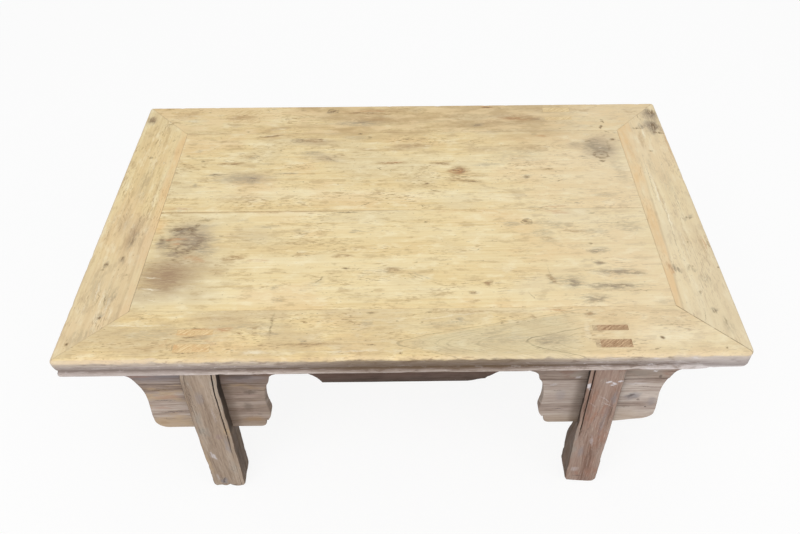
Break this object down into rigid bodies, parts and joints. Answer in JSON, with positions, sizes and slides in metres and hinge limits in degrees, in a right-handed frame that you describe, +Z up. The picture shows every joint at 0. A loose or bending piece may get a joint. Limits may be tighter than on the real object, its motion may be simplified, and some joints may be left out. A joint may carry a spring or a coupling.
{
  "type": "kang table",
  "caption": "Low wooden kang table: mitred frame-and-panel top with a moulded edge, recessed forked legs tenoned through the top, aprons and cloud-shaped spandrels.",
  "frame": {"origin": "centre of the footprint, on the floor", "axes": "+X along the table, +Y towards the back long side, +Z up"},
  "size_m": [0.9, 0.56, 0.34],
  "materials": {
    "top_frame": "bare old elm, sanded pale and matt, moulded edge greyer",
    "top_panel": "bare old elm, sanded pale and matt, with knots and grey stains",
    "apron": "weathered grey-brown wood, matt",
    "spandrel": "weathered grey-brown wood, matt",
    "leg": "weathered olive to reddish brown wood, matt",
    "wedge": "bare wood",
    "stretcher": "weathered brown wood, matt",
    "batten": "weathered brown wood, matt"
  },
  "bodies": {
    "root": {"front_long_rail": "top_frame", "back_long_rail": "top_frame", "left_end_rail": "top_frame", "right_end_rail": "top_frame", "front_panel_board": "top_panel", "back_panel_board": "top_panel", "front_apron": "apron", "back_apron": "apron", "left_end_apron": "apron", "right_end_apron": "apron", "front_left_spandrel": "spandrel", "front_right_spandrel": "spandrel", "back_left_spandrel": "spandrel", "back_right_spandrel": "spandrel", "front_left_leg": "leg", "front_right_leg": "leg", "back_left_leg": "leg", "back_right_leg": "leg", "front_left_tenon_wedges": "wedge", "front_right_tenon_wedges": "wedge", "back_left_tenon_wedges": "wedge", "back_right_tenon_wedges": "wedge", "left_upper_stretcher": "stretcher", "left_lower_stretcher": "stretcher", "right_upper_stretcher": "stretcher", "right_lower_stretcher": "stretcher", "left_batten": "batten", "middle_batten": "batten", "right_batten": "batten"}
  },
  "joints": []
}
